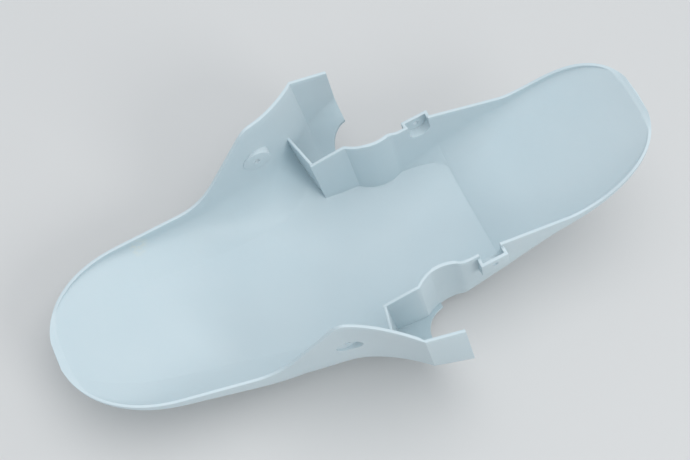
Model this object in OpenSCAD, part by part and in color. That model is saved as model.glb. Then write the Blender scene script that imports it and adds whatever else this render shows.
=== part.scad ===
// Motorcycle front fender, one moulding, lying on its crown with the wheel side up.
// It is drawn in the mould's draw frame: X runs to the tail, Z up out of the mould.
// At the end it is tilted back into the pose in which it rests on its crown.

/* [Moulding] */
// Wall thickness of the moulding
wall = 3; // [2:0.5:4]
// Bevel along the rims
edge = 0.8; // [0.4:0.1:1]
// Angle between the draw direction and upright when the fender rests
rest_tilt = 16.1; // [12:0.2:19]

/* [Wheel] */
// Radius of the crown's outer face round the wheel
crown_r = 333; // [325:1:341]
// Place of the wheel centre behind the inner wall's front corner
wheel_x = 84; // [78:1:90]
// How far the crown's lowest point lies under the inner wall's front corner
crown_low = 110; // [104:1:116]
// How far the rear crown steps in at the end of the pan
step_h = 7; // [3:1:10]
// Where the pan ends
step_x = 127; // [118:1:130]
// Length over which the rear crown comes in
step_len = 45; // [35:1:55]

/* [Nose] */
// Length ahead of the inner wall's front corner
nose_len = 279; // [250:1:310]
// Half width where the round nose begins
nose_w = 82.5; // [72:0.5:90]
// Length of the round nose
nose_round = 85; // [65:1:100]
// Height of the nose's tip over the inner wall's front corner
nose_h = 57; // [45:1:70]

/* [Ears] */
// Half width at the ear's front crease
ear_w = 141.5; // [136:0.5:150]
// How much wider the ear's rear bottom corner is
ear_flare = 9; // [4:1:12]
// Where the ear's front crease lies
ear_front = 17.5; // [12:0.5:22]
// Where the ear ends
ear_end = 53.5; // [50:0.5:57]
// Height of the ear's peak over the inner wall's front corner
ear_top = 85; // [75:1:95]

/* [Fork] */
// Half width over the inner walls' outer faces
post_w = 80.5; // [76:0.5:84]
// Radius of the notch that the fork leg passes through
fork_r = 28.5; // [24:0.5:31]
// Place of the fork leg behind the inner wall's front corner
fork_x = 58; // [56:1:60]
// Half of the distance between the fork legs
fork_y = 106; // [104:1:108]
// Radius of the hollow in the inner wall beside the leg
hollow_r = 40.5; // [36:0.5:44]

/* [Tail] */
// Length behind the inner wall's front corner
tail_len = 309.5; // [290:0.5:330]
// Half width over the rear side walls
tail_w = 75; // [72:0.5:78]
// Length of the round tail
tail_round = 100; // [80:1:110]

/* [Fixings] */
// Diameter of the four bolt holes
hole_d = 6.5; // [5:0.5:8]
// Diameter of the front bosses
boss_d = 28; // [22:1:30]
// Length of the rear tabs
tab_len = 28; // [24:1:32]
// How far the rear tabs stand out of the side walls
tab_out = 9; // [6:0.5:10]

/* [Hidden] */

nose_x = -nose_len;
wheel_z = crown_r - crown_low;
fold_x = 37;                        // the inner wall's flat front ends here
hollow_x = 63.5;                    // middle of the hollow beside the fork leg
hollow_in = 9.5;                    // how far the hollow bulges inwards
hollow_y = post_w + hollow_r - hollow_in;
boss_x = -42.5;
boss_z = 23.4;
tab_x = 97.5;
tab_top = -17;
tab_h = 34;
hole_drop = 10.5;                   // from the tab's top edge to its hole
dip_x = 71;                         // the rim dips ahead of the tab from here
dip_end = 88;
rise_end = 203;                     // and behind it falls as far as here
tail_rise = 228;                    // where it turns up towards the tail's end
tail_level = 275;
slant = 0.22;                       // how far the cross walls lean forward outwards
cross_fall = 0.105;                 // and how much their top edges fall
deep = 140;                         // more than the depth below the inner walls' tops
boss_y = 101;                       // the front bolts' seats
boss_rim = 2;
open_h = 25;                        // how far the cavities run on past the rims
floor_n = 5;
shelf_n = 3;
bend_n = 4;
side_n = 2;

// 0 before a bend, u after it, with a parabola of half length b between them
function ramp(u, b) = u <= -b ? 0 : u >= b ? u : (u + b) * (u + b) / (4 * b);
function lesser(a, b, k) = a - ramp(a - b, k);
function clamp01(u) = min(1, max(0, u));
function ease(u) = clamp01(u) * clamp01(u) * (3 - 2 * clamp01(u));
function mix(a, b, t) = a + (b - a) * t;
function mix3(a, b, c, t) = mix(mix(a, b, t), mix(b, c, t), t);

// Rims: heights over the inner wall's front corner
nose_slope = -0.3;
rise_slope = 1.12;
ear_slope = -0.526;
ear_peak_x = -41;
rise_x = (nose_h - nose_slope * nose_x - ear_top + rise_slope * ear_peak_x) / (rise_slope - nose_slope);
function front_rim(x) = nose_h + nose_slope * (x - nose_x)
    + (rise_slope - nose_slope) * ramp(x - rise_x, 22)
    + (ear_slope - rise_slope) * ramp(x - ear_peak_x, 8);
function rear_rim(x) = 0.11 * x - 0.11 * ramp(x - 30, 6)
    - 0.85 * ramp(x - dip_x, 5) + 0.88 * ramp(x - dip_end, 5)
    - 0.48 * ramp(x - step_x + 5, 5) + 0.5 * ramp(x - rise_end, 8)
    + 0.28 * ramp(x - tail_rise, 12) - 0.11 * ramp(x - tail_level, 12);

// Crown line: round the wheel, on a larger radius up to the nose's tip, and down to the tail's rim
nose_start = -40;
start_z = round_z(nose_start);
normal = [wheel_x - nose_start, wheel_z - start_z] / crown_r;
to_tip = [nose_x - nose_start, nose_h - start_z];
nose_r = (to_tip * to_tip) / (2 * to_tip * normal);
nose_c = [nose_start, start_z] + nose_r * normal;
tail_start = 200;
tail_drop = rear_rim(tail_len) - round_z(tail_len);
function round_r(x) = crown_r - step_h * (1 - pow(1 - clamp01((x - step_x) / step_len), 2));
function round_z(x) = wheel_z - sqrt(pow(round_r(x), 2) - pow(x - wheel_x, 2));
function keel(x) = x < nose_start
    ? nose_c[1] - sqrt(nose_r * nose_r - pow(x - nose_c[0], 2))
    : round_z(x) + tail_drop * pow(max(0, x - tail_start) / (tail_len - tail_start), 2);

// Half widths at the rims
nose_taper = 0.135;
tail_taper = 0.03;
function round_end(u, n) = pow(1 - pow(clamp01(u), n), 1 / n);
ear_bend = ear_front - 67;
function flare(x) = pow(clamp01((x - ear_bend) / (ear_front - ear_bend)), 1.8);
function front_w(x) = x > ear_front
    ? ear_w + 0.08 * (x - ear_front)
    : (nose_w + nose_taper * (x - nose_x - nose_round)) * round_end((nose_x + nose_round - x) / nose_round, 2.35)
        + (ear_w - nose_w - nose_taper * (ear_front - nose_x - nose_round)) * flare(x);
function hollow(x) = hollow_y - sqrt(max(0, hollow_r * hollow_r - (x - hollow_x) * (x - hollow_x)));
function post(x) = mix(post_w, tail_w, ease((x - fold_x) / (hollow_x - fold_x)))
    - tail_taper * ramp(x - step_x, 10);
function trough_w(x) = (abs(x - hollow_x) < hollow_r ? min(post(x), hollow(x)) : post(x))
    * round_end((x - tail_len + tail_round) / tail_round, 2.7);

// The crown's bottom corners under the rims
function corner_w(x) = front_w(x) + 2 * clamp01(front_w(x) / nose_w) * clamp01(-x / 50)
    + ear_flare * ramp(x - ear_front, 4) / (ear_end - ear_front);
function corner_lift(x) = lesser(0.5 * (front_rim(x) - keel(x)), 21 + 0.32 * ramp(x + 100, 30), 8);
rear_bow = 12 / pow(tail_w, 3);
function front_bow(x) = corner_lift(x) / pow(corner_w(x), 3);
function bow(x) = x < ear_end
    ? front_bow(x)
    : mix(front_bow(ear_end), rear_bow, ease((x - ear_end) / (step_x - ear_end)));
function slope_x(x) = (keel(x + 1) - keel(x - 1)) / 2;
function skin(x, y, d) = keel(x) + bow(x) * pow(y, 3)
    + d * sqrt(1 + pow(3 * bow(x) * y * y, 2) + pow(slope_x(x), 2));

// Bends between the floor and the walls
function wide_bend(x) = mix(34, 9, ease((x + 70) / (ear_end + 70))) * min(1, front_w(x) / nose_w);

// The tail's wide bends run on under the pan's floor, which cuts into them ahead of the step
channel_bend = 20;
step_slope = 2 * step_h / step_len;
function end_bend(x) = channel_bend * min(1, trough_w(x) / tail_w);
function cut_cos(x) = 1 - min(0.96, step_slope * max(0, step_x - x) / channel_bend);
function cut_sin(x) = sqrt(1 - pow(cut_cos(x), 2));
function trough_bend(x) = end_bend(x) * max(0.03, 1 - cut_sin(x));
function bend_lift(x) = end_bend(x) * (1 - cut_sin(x)) * cut_sin(x) / cut_cos(x);

// Thickness across, which is more where the walls turn in to the nose and the tail
function front_thick(x) = wall * min(2.4, sqrt(1 + pow(front_w(x + 1) - front_w(x), 2)));
function rear_thick(x) = wall * min(2.4, sqrt(1 + pow(trough_w(x + 1) - trough_w(x), 2)));

// Half sections as [y, z], from the middle to the rim: the outside, or the cavity by side = -1
function floor_part(x, w, d) = [for (j = [0:floor_n]) let (y = w * j / floor_n) [y, skin(x, y, d)]];
function bend_part(a, b, c) = [for (j = [1:bend_n]) mix3(a, b, c, j / bend_n)];
function wall_part(knee, top, side) = concat(
    [for (j = [1:side_n]) mix(knee, top - [0, edge], j / side_n)],
    side > 0 ? [top - [edge, 0], top - [top[0] / 2, 0]] : [top + [2 * edge, edge], top + [2 * edge, open_h]]);
function pan_w(x, side) = trough_w(max(x, 0)) - trough_bend(max(x, 0)) - (side > 0 ? 0 : wall);
function front_half(x, side) = let (
        d = side > 0 ? 0 : wall,
        dy = side > 0 ? 0 : front_thick(x),
        w = corner_w(x) - dy,
        w0 = min(pan_w(x, side), max(0.6 * w, w - 36)),
        y0 = max(w0 + 1, w - wide_bend(x)),
        foot = [w, skin(x, w, d)],
        h = max(2, front_rim(x) - foot[1]),
        top = [front_w(x) - dy, foot[1] + h],
        knee = mix(foot, top, min(wide_bend(x) / h, 0.5)))
    concat(
        floor_part(x, w0, d),
        [for (j = [1:shelf_n]) let (y = mix(w0 + 0.6, y0, (j - 1) / (shelf_n - 1))) [y, skin(x, y, d)]],
        bend_part([y0, skin(x, y0, d)], foot, knee),
        wall_part(knee, top, side));
function rear_half(x, side) = let (
        d = side > 0 ? 0 : wall,
        dy = side > 0 ? 0 : rear_thick(x),
        w = trough_w(x) - dy,
        y0 = w - trough_bend(x),
        foot = [w, skin(x, w, d)],
        h = max(2, rear_rim(x) - foot[1]),
        top = [w, foot[1] + h],
        knee = foot + [0, min(end_bend(x) * cut_cos(x), 0.5 * h - edge)])
    concat(
        floor_part(x, y0, d),
        bend_part([y0, skin(x, y0, d)], foot + [0, bend_lift(x)], knee),
        [for (j = [1:shelf_n]) mix(knee, top, 0.4 * j / shelf_n)],
        wall_part(mix(knee, top, 0.4), top, side));

// A whole ring from the left rim round to the right one
function ring(x, half) = let (n = len(half) - 1)
    [for (j = [-n:n]) let (p = half[abs(j)]) [x, sign(j) * p[0], p[1]]];

// Closed solid from rings, with a point at each end
module loft(rings, first, last) {
    n = len(rings[0]);
    m = len(rings);
    points = concat([first], [for (r = rings) each r], [last]);
    end = len(points) - 1;
    faces = concat(
        [for (j = [0:n - 1]) [0, 1 + j, 1 + (j + 1) % n]],
        [for (i = [0:m - 2]) for (j = [0:n - 1])
            let (a = 1 + i * n + j, b = 1 + i * n + (j + 1) % n) each [[a, a + n, b], [b, a + n, b + n]]],
        [for (j = [0:n - 1]) let (a = 1 + (m - 1) * n) [end, a + (j + 1) % n, a + j]]);
    polyhedron(points, faces, convexity = 10);
}

front_x = concat(
    [for (a = [18:12:90]) nose_x + nose_round * (1 - cos(a))],
    [for (x = [nose_x + nose_round + 20:20:-65]) x],
    [for (x = [-56:8:-8]) x]);
ear_x = [0, 9, ear_front, 26, 40, ear_end];
post_x = [0, 12, 24, fold_x, 41, 45, 49];
trough_x = concat(
    [hollow_x - 5, hollow_x, hollow_x + 5, hollow_x + 12],
    [for (u = [44, 35, 27, 19, 12, 7, 3, 1, 0]) step_x - u]);
tail_x = concat(
    [for (k = [1:5]) step_x + step_len * pow(k / 5, 1.5)],
    [for (x = [step_x + step_len + 17:17:tail_len - tail_round]) x],
    [for (a = [84:-11:18]) tail_len - tail_round * (1 - cos(a))]);

// The moulding with its hollows still full
module body() {
    rings = concat(
        [for (x = concat(front_x, ear_x)) ring(x, front_half(x, 1))],
        [ring(ear_end, rear_half(ear_end, 1))],
        [for (x = concat(trough_x, tail_x)) ring(x, rear_half(x, 1))]);
    loft(rings, [nose_x, 0, nose_h], [tail_len, 0, rear_rim(tail_len)]);
}

// Cross walls, which lean forward as they run out from the inner walls to the ears
module cross_wall() {
    rings = [for (u = [-wall / 2, 0, ear_w]) cross_ring(post_w + u, -slant * max(0, u), -cross_fall * max(0, u))];
    loft(rings, [wall / 2, post_w - wall / 2, -deep / 2], [-slant * ear_w, post_w + ear_w, -deep / 2]);
}
function cross_ring(y, x, top) = [[x + wall, y, top], [x + wall, y, -deep], [x, y, -deep], [x, y, top]];

// What stands between the ears: the inner walls with all that lies between them
module post_block() {
    rings = [for (x = concat(post_x, [ear_end])) post_ring(x, trough_w(x))];
    past = [post_ring(ear_end + 25, trough_w(ear_end) + 40)];
    loft(concat(rings, past), [0, 0, -deep / 2], [ear_end + 25, 0, -deep / 2]);
}
function post_ring(x, w) = [[x, -w, rear_rim(x)], [x, -w, -deep], [x, w, -deep], [x, w, rear_rim(x)]];

// Space ahead of the cross walls and in the two pockets behind them
module front_space() {
    rings = [for (x = concat(front_x, ear_x)) ring(x, front_half(x, -1))];
    past = [for (p = ring(ear_end, front_half(ear_end, -1))) p + [25, 0, 0]];
    difference() {
        loft(concat(rings, [past]), [nose_x + wall, 0, nose_h + 2], [ear_end + 25, 0, 0]);
        post_block();
        for (side = [0, 1]) mirror([0, side, 0]) {
            cross_wall();
            boss(boss_y - wall, boss_d);
        }
    }
}
module boss(y, d) {
    translate([boss_x, y, boss_z]) rotate([-90, 0, 0]) cylinder(h = 20, d = d, $fn = 48);
}

// Space between the inner walls, on to the tail
module wheel_space() {
    rings = [for (x = concat(post_x, [ear_end], trough_x, tail_x)) ring(x, rear_half(x, -1))];
    loft(rings, [0, 0, -wall], [tail_len - wall, 0, rear_rim(tail_len) + 2]);
}

// The tab's face is upright down to below its pocket, and from there slopes back to the side wall
module tab_block() {
    out = tab_out + wall / 2;
    face = hole_drop + tab_len / 2;
    translate([tab_x, tail_w - wall / 2, tab_top])
        rotate([90, 0, 90])
            linear_extrude(tab_len)
                polygon([[0, 0], [out, 0], [out, -face], [wall / 2, -tab_h], [0, -tab_h]]);
}

module tab_pocket() {
    w = tab_len - 2 * wall;
    translate([tab_x + tab_len / 2, tail_w + tab_out - wall, tab_top - hole_drop])
        rotate([90, 0, 0]) {
            cylinder(h = 5 * wall, d = w, $fn = 32);
            translate([-w / 2, 0, 0]) cube([w, tab_h, 5 * wall]);
        }
}

module moulding() {
    difference() {
        union() {
            difference() {
                body();
                front_space();
                wheel_space();
            }
            for (side = [0, 1]) mirror([0, side, 0]) tab_block();
        }
        for (side = [0, 1]) mirror([0, side, 0]) {
            tab_pocket();
            boss(boss_y, boss_d - 2 * boss_rim);
            translate([fork_x, fork_y, -deep]) cylinder(h = deep, r = fork_r, $fn = 64);
        }
    }
}

module bolt_hole(x, y, z) {
    translate([x, y, z]) rotate([90, 0, 0]) cylinder(h = 8 * wall, d = hole_d, center = true, $fn = 64);
}

// Back into the resting pose, with the middle of the length over the origin and the crown on z = 0
function rest_x(p) = p[0] * cos(rest_tilt) - p[1] * sin(rest_tilt);
rest_mid = (rest_x([nose_x, nose_h]) + rest_x([tail_len, rear_rim(tail_len)])) / 2;
rest_low = wheel_x * sin(rest_tilt) + wheel_z * cos(rest_tilt) - crown_r;

module fender() {
    color("lightsteelblue") translate([-rest_mid, 0, -rest_low]) rotate([0, -rest_tilt, 0]) difference() {
        resize([nose_len + tail_len, 0, 0]) moulding();
        for (side = [-1, 1]) {
            bolt_hole(boss_x, side * boss_y, boss_z);
            bolt_hole(tab_x + tab_len / 2, side * (tail_w + tab_out), tab_top - hole_drop);
        }
    }
}

fender();
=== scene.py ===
import math

import bmesh
import bpy
from mathutils import Matrix, Vector


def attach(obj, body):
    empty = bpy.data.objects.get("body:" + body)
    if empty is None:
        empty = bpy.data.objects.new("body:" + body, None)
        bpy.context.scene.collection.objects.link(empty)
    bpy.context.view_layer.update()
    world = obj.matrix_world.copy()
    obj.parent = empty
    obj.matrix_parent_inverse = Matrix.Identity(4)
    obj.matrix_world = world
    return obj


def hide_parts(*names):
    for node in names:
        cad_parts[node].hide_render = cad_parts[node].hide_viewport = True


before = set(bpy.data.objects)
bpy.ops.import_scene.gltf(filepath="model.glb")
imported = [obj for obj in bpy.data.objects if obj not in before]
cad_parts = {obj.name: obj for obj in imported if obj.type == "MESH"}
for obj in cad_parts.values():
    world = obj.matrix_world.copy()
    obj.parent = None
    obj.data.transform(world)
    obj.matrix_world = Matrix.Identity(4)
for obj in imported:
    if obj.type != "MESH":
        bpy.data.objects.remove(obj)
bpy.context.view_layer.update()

# The camera stands where the photograph was taken from
view = dict(
    place=(-0.30881, -0.40030, 1.09857),
    right=(0.89812, -0.42920, 0.09580),
    up=(0.34893, 0.82810, 0.43877),
    lens=62.61,
    sensor=36.0,
)
camData = bpy.data.cameras.new("camera")
camData.lens = view["lens"]
camData.sensor_width = view["sensor"]
camera = bpy.data.objects.new("camera", camData)
bpy.context.scene.collection.objects.link(camera)
rightAxis = Vector(view["right"]).normalized()
upAxis = (Vector(view["up"]) - Vector(view["up"]).project(rightAxis)).normalized()
backAxis = rightAxis.cross(upAxis)
aim = Matrix((rightAxis, upAxis, backAxis)).transposed().to_4x4()
camera.matrix_world = Matrix.Translation(view["place"]) @ aim
bpy.context.scene.camera = camera
print("camera placed")

# The fender's sizes in mm, as in the CAD: X runs to the tail, Z up out of the mould,
# and both start at the inner wall's front corner
form = dict(
    wall=3, edge=0.8, soft=0.6, tilt=16.1,
    # crown round the wheel, and the step where the tail's channel begins
    crownR=333, crownLow=110, wheelX=84, stepH=7, stepX=127, stepLen=45, channelBend=20,
    # nose
    noseLen=279, noseW=82.5, noseRound=85, noseFull=2.35, noseH=57, noseTaper=0.135, noseStart=-40,
    # ears
    earW=141.5, earFlare=9, earFront=17.5, earEnd=53.5, earTop=85, earPeakX=-41,
    earLead=67, earSweep=1.8, earSpread=0.08,
    # tail
    tailLen=309.5, tailW=75, tailRound=100, tailFull=2.7, tailTaper=0.03, tailStart=200, tailBow=12,
    # slopes of the front rim, and half lengths of the bends between them
    noseSlope=-0.3, riseSlope=1.12, earSlope=-0.526, riseSoft=22, peakSoft=8,
    # the rear rim's first slope, and where it bends, by how much and over which half length
    rearSlope=0.11,
    rearBends=((30, -0.11, 6), (71, -0.85, 5), (88, 0.88, 5), (122, -0.48, 5),
               (203, 0.5, 8), (228, 0.28, 12), (275, -0.11, 12)),
    # bottom corners of the pan
    cornerOut=2, cornerRun=50, cornerH=21, cornerRise=0.32, cornerFrom=-100, cornerSoft=30,
    noseBend=34, earBend=9, bendFrom=-70, shoulder=36, floorShare=0.6,
    # inner walls, fork legs and cross walls
    postW=80.5, foldX=37, forkR=28.5, forkX=58, forkY=106, hollowR=40.5, hollowX=63.5, hollowIn=9.5,
    slant=0.22, crossFall=0.105, deep=140, openH=25, openW=40,
    # front bosses, and rear tabs with their pockets
    holeD=6.5, bossD=28, bossX=-42.5, bossZ=23.4, bossY=101, bossRim=2, bossDeep=20, bossSoft=0.5,
    tabLen=28, tabOut=9, tabX=97.5, tabTop=-17, tabH=34, holeDrop=10.5, pocketDeep=15, drill=12,
)
f = type("Sizes", (), form)
noseX = -f.noseLen
wheelZ = f.crownR - f.crownLow
hollowY = f.postW + f.hollowR - f.hollowIn
flareX = f.earFront - f.earLead
riseX = (f.noseH - f.noseSlope * noseX - f.earTop + f.riseSlope * f.earPeakX) / (f.riseSlope - f.noseSlope)

# How fine the mesh is: counts across a section, and mm between the sections along the fender
grid = dict(
    floor=22, shelf=9, bend=9, side=9, round=96, notch=144,
    nose=5, crown=3.5, ear=3, post=4, hollow=2, trough=2.5, step=1, crease=0.5, tail=4,
    crownFrom=-90, stepFrom=110, turn=3, first=8,
)


# 0 before a bend, u after it, with a parabola of half length b between them
def ramp(u, b):
    return 0.0 if u <= -b else float(u) if u >= b else (u + b) * (u + b) / (4 * b)


def lesser(a, b, k):
    return a - ramp(a - b, k)


def clamp01(u):
    return min(1.0, max(0.0, u))


def ease(u):
    return clamp01(u) ** 2 * (3 - 2 * clamp01(u))


def mix(a, b, t):
    return a + (b - a) * t


# Rims: heights over the inner wall's front corner
def frontRim(x):
    return (f.noseH + f.noseSlope * (x - noseX)
            + (f.riseSlope - f.noseSlope) * ramp(x - riseX, f.riseSoft)
            + (f.earSlope - f.riseSlope) * ramp(x - f.earPeakX, f.peakSoft))


def rearRim(x):
    height = f.rearSlope * x
    for place, change, reach in f.rearBends:
        height += change * ramp(x - place, reach)
    return height


# Crown line: round the wheel, on a larger radius up to the nose's tip, and down to the tail's rim
def roundR(x):
    return f.crownR - f.stepH * (1 - (1 - clamp01((x - f.stepX) / f.stepLen)) ** 2)


def roundZ(x):
    return wheelZ - math.sqrt(roundR(x) ** 2 - (x - f.wheelX) ** 2)


startZ = roundZ(f.noseStart)
normal = Vector((f.wheelX - f.noseStart, wheelZ - startZ)) / f.crownR
toTip = Vector((noseX - f.noseStart, f.noseH - startZ))
noseR = toTip.dot(toTip) / (2 * toTip.dot(normal))
noseC = Vector((f.noseStart, startZ)) + noseR * normal
tailDrop = rearRim(f.tailLen) - roundZ(f.tailLen)


def keel(x):
    if x < f.noseStart:
        return noseC[1] - math.sqrt(noseR ** 2 - (x - noseC[0]) ** 2)
    return roundZ(x) + tailDrop * (max(0, x - f.tailStart) / (f.tailLen - f.tailStart)) ** 2


# Half widths at the rims
def roundEnd(u, n):
    return (1 - clamp01(u) ** n) ** (1 / n)


def frontW(x):
    if x > f.earFront:
        return f.earW + f.earSpread * (x - f.earFront)
    noseEnd = noseX + f.noseRound
    tip = roundEnd((noseEnd - x) / f.noseRound, f.noseFull)
    flare = clamp01((x - flareX) / (f.earFront - flareX)) ** f.earSweep
    return ((f.noseW + f.noseTaper * (x - noseX - f.noseRound)) * tip
            + (f.earW - f.noseW - f.noseTaper * (f.earFront - noseEnd)) * flare)


def hollow(x):
    return hollowY - math.sqrt(max(0, f.hollowR ** 2 - (x - f.hollowX) ** 2))


def post(x):
    return (mix(f.postW, f.tailW, ease((x - f.foldX) / (f.hollowX - f.foldX)))
            - f.tailTaper * ramp(x - f.stepX, 10))


def troughW(x):
    w = min(post(x), hollow(x)) if abs(x - f.hollowX) < f.hollowR else post(x)
    return w * roundEnd((x - f.tailLen + f.tailRound) / f.tailRound, f.tailFull)


# The crown's bottom corners under the rims
def cornerW(x):
    return (frontW(x) + f.cornerOut * clamp01(frontW(x) / f.noseW) * clamp01(-x / f.cornerRun)
            + f.earFlare * ramp(x - f.earFront, 4) / (f.earEnd - f.earFront))


def cornerLift(x):
    most = f.cornerH + f.cornerRise * ramp(x - f.cornerFrom, f.cornerSoft)
    return lesser(0.5 * (frontRim(x) - keel(x)), most, 8)


def bow(x):
    if x < f.earEnd:
        return cornerLift(x) / cornerW(x) ** 3
    return mix(cornerLift(f.earEnd) / cornerW(f.earEnd) ** 3, f.tailBow / f.tailW ** 3,
               ease((x - f.earEnd) / (f.stepX - f.earEnd)))


# The crown's face, d above the outer one, with the wall's slope taken into account
def skin(x, y, d):
    slope = (keel(x + 1) - keel(x - 1)) / 2
    return keel(x) + bow(x) * y ** 3 + d * math.sqrt(1 + (3 * bow(x) * y * y) ** 2 + slope ** 2)


# Bends between the crown and the walls
def wideBend(x):
    share = ease((x - f.bendFrom) / (f.earEnd - f.bendFrom))
    return mix(f.noseBend, f.earBend, share) * min(1, frontW(x) / f.noseW)


def endBend(x):
    return f.channelBend * min(1, troughW(x) / f.tailW)


def cutCos(x):
    return 1 - min(0.96, 2 * f.stepH / f.stepLen * max(0, f.stepX - x) / f.channelBend)


def cutSin(x):
    return math.sqrt(1 - cutCos(x) ** 2)


def troughBend(x):
    return endBend(x) * max(0.03, 1 - cutSin(x))


def bendLift(x):
    return endBend(x) * (1 - cutSin(x)) * cutSin(x) / cutCos(x)


# The wall's thickness along Y, more where the side runs aslant
def thick(width, x):
    return f.wall * min(2.4, math.sqrt(1 + (width(x + 1) - width(x)) ** 2))


def bendPart(a, b, c):
    steps = [j / grid["bend"] for j in range(1, grid["bend"] + 1)]
    return [mix(mix(a, b, t), mix(b, c, t), t) for t in steps]


# Up a wall and over its rim: outside to the middle of the solid, inside on past the rim
def wallPart(knee, top, side):
    foot, count = top - Vector((0, f.edge)), grid["side"]
    rows = [mix(knee, foot, j / count) for j in range(1, count + 1)]
    nick = 0.25 * f.edge
    if side > 0:
        return rows + [top - Vector((nick, nick)), top - Vector((f.edge, 0)), top - Vector((top[0] / 2, 0))]
    return rows + [top + Vector((nick, -nick)), top + Vector((2 * f.edge, f.edge)),
                   top + Vector((2 * f.edge, f.openH))]


def floorPart(x, w, d):
    ys = [w * j / grid["floor"] for j in range(grid["floor"] + 1)]
    return [Vector((y, skin(x, y, d))) for y in ys]


# Half of a section: side 1 is the outside, side -1 the inside
def frontHalf(x, side):
    d = 0 if side > 0 else f.wall
    dy = 0 if side > 0 else thick(frontW, x)
    w = cornerW(x) - dy
    pan = troughW(max(x, 0)) - troughBend(max(x, 0)) - d
    w0 = min(pan, max(f.floorShare * w, w - f.shoulder))
    y0 = max(w0 + 1, w - wideBend(x))
    foot = Vector((w, skin(x, w, d)))
    h = max(2, frontRim(x) - foot[1])
    top = Vector((frontW(x) - dy, foot[1] + h))
    knee = mix(foot, top, min(wideBend(x) / h, 0.5))
    count = grid["shelf"]
    shelf = [mix(w0 + 0.6, y0, (j - 1) / (count - 1)) for j in range(1, count + 1)]
    return (floorPart(x, w0, d) + [Vector((y, skin(x, y, d))) for y in shelf]
            + bendPart(Vector((y0, skin(x, y0, d))), foot, knee) + wallPart(knee, top, side))


def rearHalf(x, side):
    d = 0 if side > 0 else f.wall
    dy = 0 if side > 0 else thick(troughW, x)
    w = troughW(x) - dy
    y0 = w - troughBend(x)
    foot = Vector((w, skin(x, w, d)))
    h = max(2, rearRim(x) - foot[1])
    top = Vector((w, foot[1] + h))
    knee = foot + Vector((0, min(endBend(x) * cutCos(x), 0.5 * h - f.edge)))
    bend = foot + Vector((0, bendLift(x)))
    low = [mix(knee, top, 0.4 * j / grid["shelf"]) for j in range(1, grid["shelf"] + 1)]
    return (floorPart(x, y0, d) + bendPart(Vector((y0, skin(x, y0, d))), bend, knee)
            + low + wallPart(mix(knee, top, 0.4), top, side))


def ring(x, half):
    left = [(x, -p[0], p[1]) for p in reversed(half[1:])]
    return left + [(x, p[0], p[1]) for p in half]


def newObject(name, mesh):
    obj = bpy.data.objects.new(name, mesh)
    bpy.context.scene.collection.objects.link(obj)
    return obj


# A closed solid through rings with equal numbers of points, ending in two single points
def loft(name, rings, first, last):
    n, m = len(rings[0]), len(rings)
    points = [first] + [p for r in rings for p in r] + [last]
    end = len(points) - 1
    faces = [(0, 1 + j, 1 + (j + 1) % n) for j in range(n)]
    for i in range(m - 1):
        for j in range(n):
            a, b = 1 + i * n + j, 1 + i * n + (j + 1) % n
            faces += [(a, a + n, b), (b, a + n, b + n)]
    a = 1 + (m - 1) * n
    faces += [(end, a + (j + 1) % n, a + j) for j in range(n)]
    mesh = bpy.data.meshes.new(name)
    mesh.from_pydata(points, [], faces)
    bm = bmesh.new()
    bm.from_mesh(mesh)
    bmesh.ops.recalc_face_normals(bm, faces=bm.faces)
    bm.to_mesh(mesh)
    bm.free()
    return newObject(name, mesh)


def bevelled(name, build, width):
    bm = bmesh.new()
    build(bm)
    sharp = [e for e in bm.edges if len(e.link_faces) == 2 and e.calc_face_angle(0) > 0.6]
    if width:
        bmesh.ops.bevel(bm, geom=sharp, offset=width, segments=3, profile=0.5, affect="EDGES")
    mesh = bpy.data.meshes.new(name)
    bm.to_mesh(mesh)
    bm.free()
    return newObject(name, mesh)


def block(name, low, high, width=0):
    def build(bm):
        bmesh.ops.create_cube(bm, size=1)
        for v in bm.verts:
            v.co = Vector([mix(low[k], high[k], v.co[k] + 0.5) for k in range(3)])
    return bevelled(name, build, width)


def rod(name, x, y0, y1, z, radius, width=0):
    def build(bm):
        turn = Matrix.Translation((x, (y0 + y1) / 2, z)) @ Matrix.Rotation(math.pi / 2, 4, "X")
        bmesh.ops.create_cone(bm, cap_ends=True, segments=grid["round"], radius1=radius, radius2=radius,
                              depth=abs(y1 - y0), matrix=turn)
    return bevelled(name, build, width)


def carve(target, tools, operation="DIFFERENCE"):
    for tool in tools:
        mod = target.modifiers.new("cut", "BOOLEAN")
        mod.operation = operation
        mod.solver = "MANIFOLD"
        mod.object = tool
        bpy.context.view_layer.objects.active = target
        bpy.ops.object.modifier_apply(modifier=mod.name)
        bpy.data.objects.remove(tool)
    return target


def spread(a, b, step):
    n = max(1, round((b - a) / step))
    return [a + (b - a) * j / n for j in range(n)]


# Distances from a round end's tip, closer together near the tip
def roundX(length, angles):
    return [length * (1 - math.cos(math.radians(a))) for a in angles]


# Where the sections lie along the fender
noseAngles = range(grid["first"], 90, grid["turn"])
tailAngles = range(88, grid["first"], -grid["turn"])
stepEnd = f.stepX + f.stepLen
frontX = ([noseX + u for u in roundX(f.noseRound, noseAngles)]
          + spread(noseX + f.noseRound, grid["crownFrom"], grid["nose"])
          + spread(grid["crownFrom"], 0, grid["crown"]))
earX = spread(0, f.earFront, grid["ear"]) + spread(f.earFront, f.earEnd, grid["ear"]) + [f.earEnd]
postX = spread(0, f.foldX, grid["post"]) + spread(f.foldX, f.earEnd, grid["hollow"])
troughX = (spread(f.earEnd + 1.5, grid["stepFrom"], grid["trough"])
           + spread(grid["stepFrom"], f.stepX - 1, grid["step"])
           + [f.stepX - grid["crease"], f.stepX, f.stepX + grid["crease"]])
tailX = (spread(f.stepX + 1.5, stepEnd, grid["trough"])
         + spread(stepEnd, f.tailLen - f.tailRound, grid["tail"])
         + [f.tailLen - u for u in roundX(f.tailRound, tailAngles)])

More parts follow.
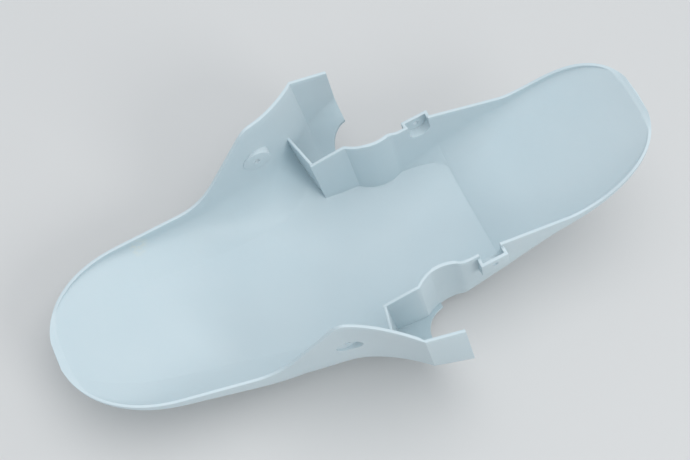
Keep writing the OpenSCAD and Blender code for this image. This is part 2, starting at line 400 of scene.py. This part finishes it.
panRings = [ring(x, frontHalf(x, 1)) for x in frontX + earX]
channelRings = [ring(x, rearHalf(x, 1)) for x in [f.earEnd] + troughX + tailX]
shell = loft("shell", panRings + channelRings, (noseX, 0, f.noseH), (f.tailLen, 0, rearRim(f.tailLen)))
print("outer form", len(shell.data.polygons))


# The solid between the inner walls, which the pan's cavity leaves standing
def postRing(x, w):
    z, s = rearRim(x), f.soft
    return [(x, -w, z - s), (x, -w, -f.deep), (x, w, -f.deep), (x, w, z - s), (x, w - s / 3, z - s / 3),
            (x, w - s, z), (x, s - w, z), (x, s / 3 - w, z - s / 3)]


def crossRing(y, x, top, side):
    s = f.soft
    return [(x + f.wall, side * y, top - s), (x + f.wall, side * y, -f.deep), (x, side * y, -f.deep),
            (x, side * y, top - s), (x + s / 3, side * y, top - s / 3), (x + s, side * y, top),
            (x + f.wall - s, side * y, top), (x + f.wall - s / 3, side * y, top - s / 3)]


def crossWall(side):
    rings = []
    for u in (-f.wall / 2, 0, f.earW):
        out = max(0, u)
        rings.append(crossRing(f.postW + u, -f.slant * out, -f.crossFall * out, side))
    return loft("cross", rings, (f.wall / 2, side * (f.postW - f.wall / 2), -f.deep / 2),
                (-f.slant * f.earW, side * (f.postW + f.earW), -f.deep / 2))


def boss(side):
    inner = f.bossY - f.wall
    return rod("boss", f.bossX, side * inner, side * (inner + f.bossDeep), f.bossZ, f.bossD / 2, f.bossSoft)


pastEar = f.earEnd + f.openH
lastRing = [(p[0] + f.openH, p[1], p[2]) for p in ring(f.earEnd, frontHalf(f.earEnd, -1))]
space = loft("space", [ring(x, frontHalf(x, -1)) for x in frontX + earX] + [lastRing],
             (noseX + f.wall, 0, f.noseH + 2), (pastEar, 0, 0))
posts = loft("posts", [postRing(x, troughW(x)) for x in postX + [f.earEnd]]
             + [postRing(pastEar, troughW(f.earEnd) + f.openW)],
             (0, 0, -f.deep / 2), (pastEar, 0, -f.deep / 2))
carve(space, [posts] + [crossWall(side) for side in (-1, 1)] + [boss(side) for side in (-1, 1)])
wheelSpace = loft("wheel", [ring(x, rearHalf(x, -1)) for x in postX + [f.earEnd] + troughX + tailX],
                  (0, 0, -f.wall), (f.tailLen - f.wall, 0, rearRim(f.tailLen) + 2))
carve(shell, [space, wheelSpace])
print("hollowed", len(shell.data.polygons))


# Upright face down to below the pocket, and from there a slope back to the side wall
def tabBlock(side):
    out, face = f.tabOut + f.wall / 2, f.holeDrop + f.tabLen / 2
    profile = [(0, 0), (out, 0), (out, -face), (f.wall / 2, -f.tabH), (0, -f.tabH)]

    def build(bm):
        ends = [[bm.verts.new((x, side * (f.tailW - f.wall / 2 + y), f.tabTop + z)) for y, z in profile]
                for x in (f.tabX, f.tabX + f.tabLen)]
        n = len(profile)
        bm.faces.new(ends[0])
        bm.faces.new(ends[1][::-1])
        for j in range(n):
            bm.faces.new((ends[0][j], ends[0][(j + 1) % n], ends[1][(j + 1) % n], ends[1][j]))
        bmesh.ops.recalc_face_normals(bm, faces=bm.faces)
    return bevelled("tab", build, f.soft)


# The pocket behind a tab, the round recess in a boss, and the bolt holes of both
def fixingCuts(side):
    tabMid = f.tabX + f.tabLen / 2
    tabZ = f.tabTop - f.holeDrop
    tabFace = f.tailW + f.tabOut
    half = (f.tabLen - 2 * f.wall) / 2
    y0 = side * (tabFace - f.wall)
    y1 = y0 - side * f.pocketDeep
    recessEnd = side * (f.bossY + f.bossDeep)
    return [
        rod("pocket", tabMid, y0, y1, tabZ, half),
        block("pocket", (tabMid - half, min(y0, y1), tabZ), (tabMid + half, max(y0, y1), tabZ + f.tabH)),
        rod("recess", f.bossX, side * f.bossY, recessEnd, f.bossZ, f.bossD / 2 - f.bossRim),
        rod("hole", f.bossX, side * (f.bossY - f.drill), side * (f.bossY + f.drill), f.bossZ, f.holeD / 2),
        rod("hole", tabMid, side * (tabFace - f.drill), side * (tabFace + f.drill), tabZ, f.holeD / 2),
    ]


# Where a fork leg passes the crown
def legNotch(side):
    place = Matrix.Translation((f.forkX, side * f.forkY, -f.deep / 2))

    def build(bm):
        bmesh.ops.create_cone(bm, cap_ends=True, segments=grid["notch"], radius1=f.forkR, radius2=f.forkR,
                              depth=f.deep, matrix=place)
    return bevelled("notch", build, 0)


for side in (-1, 1):
    carve(shell, [tabBlock(side)], "UNION")
for side in (-1, 1):
    carve(shell, fixingCuts(side))
carve(shell, [legNotch(side) for side in (-1, 1)])
print("bosses, tabs and notches", len(shell.data.polygons))

# From the draw frame in mm to the resting pose in metres
tilt = math.radians(f.tilt)


def restX(x, z):
    return x * math.cos(tilt) - z * math.sin(tilt)


mid = (restX(noseX, f.noseH) + restX(f.tailLen, rearRim(f.tailLen))) / 2
low = f.wheelX * math.sin(tilt) + wheelZ * math.cos(tilt) - f.crownR
pose = Matrix.Scale(0.001, 4) @ Matrix.Translation((-mid, 0, -low)) @ Matrix.Rotation(-tilt, 4, "Y")
shell.data.transform(pose)

# Points left double by the cuts are welded, and edges stay sharp where the faces turn by more than this
finish = dict(weld=0.00002, sharp=32)
bm = bmesh.new()
bm.from_mesh(shell.data)
bmesh.ops.remove_doubles(bm, verts=bm.verts, dist=finish["weld"])
bmesh.ops.dissolve_degenerate(bm, edges=bm.edges, dist=finish["weld"])
for face in bm.faces:
    face.smooth = True
for e in bm.edges:
    if len(e.link_faces) != 2 or e.calc_face_angle(0) > math.radians(finish["sharp"]):
        e.smooth = False
bm.to_mesh(shell.data)
bm.free()
shell.data.validate()
print("shell faces", len(shell.data.polygons))


# Short hand for building a material's nodes
class Nodes:
    def __init__(self, material):
        self.tree = material.node_tree
        self.coords = self.tree.nodes.new("ShaderNodeTexCoord").outputs["Object"]

    def noise(self, scale, detail=3.0, rough=0.5, vector=None):
        node = self.tree.nodes.new("ShaderNodeTexNoise")
        node.inputs["Scale"].default_value = scale
        node.inputs["Detail"].default_value = detail
        node.inputs["Roughness"].default_value = rough
        self.tree.links.new(vector or self.coords, node.inputs["Vector"])
        return node.outputs["Fac"]

    def span(self, value, low, high, least=0.0, most=1.0):
        node = self.tree.nodes.new("ShaderNodeMapRange")
        ends = {"From Min": low, "From Max": high, "To Min": least, "To Max": most}
        for name, number in ends.items():
            node.inputs[name].default_value = number
        self.tree.links.new(value, node.inputs["Value"])
        return node.outputs["Result"]

    def patches(self, scale, detail, low, high, rough=0.5, least=0.0, most=1.0, vector=None):
        return self.span(self.noise(scale, detail, rough, vector), low, high, least, most)

    def maths(self, operation, a, b):
        node = self.tree.nodes.new("ShaderNodeMath")
        node.operation = operation
        for k, value in enumerate((a, b)):
            if isinstance(value, (int, float)):
                node.inputs[k].default_value = value
            else:
                self.tree.links.new(value, node.inputs[k])
        return node.outputs[0]

    def stretched(self, scale, turn):
        node = self.tree.nodes.new("ShaderNodeMapping")
        node.inputs["Scale"].default_value = scale
        node.inputs["Rotation"].default_value = turn
        self.tree.links.new(self.coords, node.inputs["Vector"])
        return node.outputs["Vector"]

    def near(self, point, reach):
        node = self.tree.nodes.new("ShaderNodeVectorMath")
        node.operation = "DISTANCE"
        node.inputs[1].default_value = point
        self.tree.links.new(self.coords, node.inputs[0])
        return self.span(node.outputs["Value"], 0.0, reach, 1.0, 0.0)

    def blend(self, share, a, b):
        node = self.tree.nodes.new("ShaderNodeMix")
        node.data_type = "RGBA"
        self.tree.links.new(share, node.inputs["Factor"])
        for name, value in (("A", a), ("B", b)):
            socket = next(s for s in node.inputs if s.name == name and s.type == "RGBA")
            if isinstance(value, tuple):
                socket.default_value = (*value, 1)
            else:
                self.tree.links.new(value, socket)
        return next(s for s in node.outputs if s.type == "RGBA")

    def bump(self, height, strength, distance, below=None):
        node = self.tree.nodes.new("ShaderNodeBump")
        node.inputs["Strength"].default_value = strength
        node.inputs["Distance"].default_value = distance
        self.tree.links.new(height, node.inputs["Height"])
        if below:
            self.tree.links.new(below, node.inputs["Normal"])
        return node.outputs["Normal"]


# Pale blue gloss plastic: a slight moulding ripple, fine dust, hairline scuffs and one rubbed spot
plastic = dict(
    tone=(0.575, 0.665, 0.70), cool=(0.55, 0.65, 0.69), dust=(0.66, 0.70, 0.71), scuffTone=(0.66, 0.69, 0.62),
    clouds=dict(scale=9, detail=4, low=0.3, high=0.7),
    speckle=dict(scale=1400, detail=2, rough=0.6, low=0.68, high=0.76, most=0.25),
    hairs=dict(scale=1, detail=5, rough=0.65, low=0.70, high=0.78, most=0.1),
    hairStretch=(14, 900, 240), hairTurn=(0.3, 0.2, 0.5),
    hairGaps=dict(scale=14, detail=2, low=0.45, high=0.65),
    scuff=dict(scale=260, detail=4, low=0.4, high=0.6), scuffAt=(-0.185, 0.079, 0.06), scuffReach=0.012,
    sheen=dict(scale=22, detail=4, low=0.3, high=0.7, least=0.36, most=0.46),
    hairRough=0.25, scuffRough=0.2,
    rippleScale=45, ripple=0.06, rippleDepth=0.004, grainScale=700, grain=0.08, grainDepth=0.0003,
    ior=1.5, glow=0.12, glowDepth=0.004, glowTint=(0.8, 1.0, 1.0),
)
gloss = bpy.data.materials.new("glossPlastic")
gloss.use_nodes = True
nodes = Nodes(gloss)
shader = next(n for n in nodes.tree.nodes if n.type == "BSDF_PRINCIPLED")
clouds = nodes.patches(**plastic["clouds"])
speckle = nodes.patches(**plastic["speckle"])
hairWay = nodes.stretched(plastic["hairStretch"], plastic["hairTurn"])
hairs = nodes.patches(**plastic["hairs"], vector=hairWay)
hairs = nodes.maths("MULTIPLY", hairs, nodes.patches(**plastic["hairGaps"]))
scuff = nodes.near(plastic["scuffAt"], plastic["scuffReach"])
scuff = nodes.maths("MULTIPLY", scuff, nodes.patches(**plastic["scuff"]))
colour = nodes.blend(clouds, plastic["tone"], plastic["cool"])
colour = nodes.blend(speckle, colour, plastic["dust"])
colour = nodes.blend(hairs, colour, plastic["dust"])
colour = nodes.blend(scuff, colour, plastic["scuffTone"])
nodes.tree.links.new(colour, shader.inputs["Base Color"])
rough = nodes.patches(**plastic["sheen"])
rough = nodes.maths("ADD", rough, nodes.maths("MULTIPLY", hairs, plastic["hairRough"]))
rough = nodes.maths("ADD", rough, nodes.maths("MULTIPLY", scuff, plastic["scuffRough"]))
nodes.tree.links.new(rough, shader.inputs["Roughness"])
ripple = nodes.bump(nodes.noise(plastic["rippleScale"], 2), plastic["ripple"], plastic["rippleDepth"])
grain = nodes.noise(plastic["grainScale"])
grain = nodes.bump(grain, plastic["grain"], plastic["grainDepth"], ripple)
nodes.tree.links.new(grain, shader.inputs["Normal"])
shader.inputs["IOR"].default_value = plastic["ior"]
shader.inputs["Subsurface Weight"].default_value = plastic["glow"]
shader.inputs["Subsurface Scale"].default_value = plastic["glowDepth"]
shader.inputs["Subsurface Radius"].default_value = plastic["glowTint"]
shell.data.materials.clear()
shell.data.materials.append(gloss)
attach(shell, "root")
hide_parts("fender")
print("material made")

# Plain pale floor
ground = dict(size=6.0, tone=(0.64, 0.64, 0.635), pale=0.97, cloudScale=3, rough=0.75)
bpy.ops.mesh.primitive_plane_add(size=ground["size"], location=(0, 0, 0))
floor = bpy.context.object
floor.name = "floor"
floorMaterial = bpy.data.materials.new("floor")
floorMaterial.use_nodes = True
floorNodes = Nodes(floorMaterial)
floorShader = next(n for n in floorNodes.tree.nodes if n.type == "BSDF_PRINCIPLED")
paler = tuple(ground["pale"] * c for c in ground["tone"])
floorColour = floorNodes.blend(floorNodes.noise(ground["cloudScale"]), ground["tone"], paler)
floorNodes.tree.links.new(floorColour, floorShader.inputs["Base Color"])
floorShader.inputs["Roughness"].default_value = ground["rough"]
floor.data.materials.append(floorMaterial)

# Soft light: a wide lamp overhead, a mild one from the tail, and a pale sky
lamps = dict(
    overhead=dict(place=(0.1, 0.2, 2.6), aim=(0, 0, 0), size=2.6, power=27, tone=(1, 1, 1)),
    key=dict(place=(0.9, -2.1, 1.9), aim=(0, 0, 0.05), size=1.4, power=17, tone=(1, 0.99, 0.97)),
)
skyLight = dict(tone=(0.90, 0.95, 1.0), power=0.7)
for name, lamp in lamps.items():
    light = bpy.data.lights.new(name, "AREA")
    light.shape = "DISK"
    light.size = lamp["size"]
    light.energy = lamp["power"]
    light.color = lamp["tone"]
    holder = bpy.data.objects.new(name, light)
    bpy.context.scene.collection.objects.link(holder)
    holder.location = lamp["place"]
    way = Vector(lamp["aim"]) - Vector(lamp["place"])
    holder.rotation_euler = way.to_track_quat("-Z", "Y").to_euler()

world = bpy.data.worlds.new("world")
world.use_nodes = True
sky = world.node_tree.nodes["Background"]
sky.inputs["Color"].default_value = (*skyLight["tone"], 1)
sky.inputs["Strength"].default_value = skyLight["power"]
bpy.context.scene.world = world
bpy.context.scene.view_settings.view_transform = "Standard"
print("stage lit")
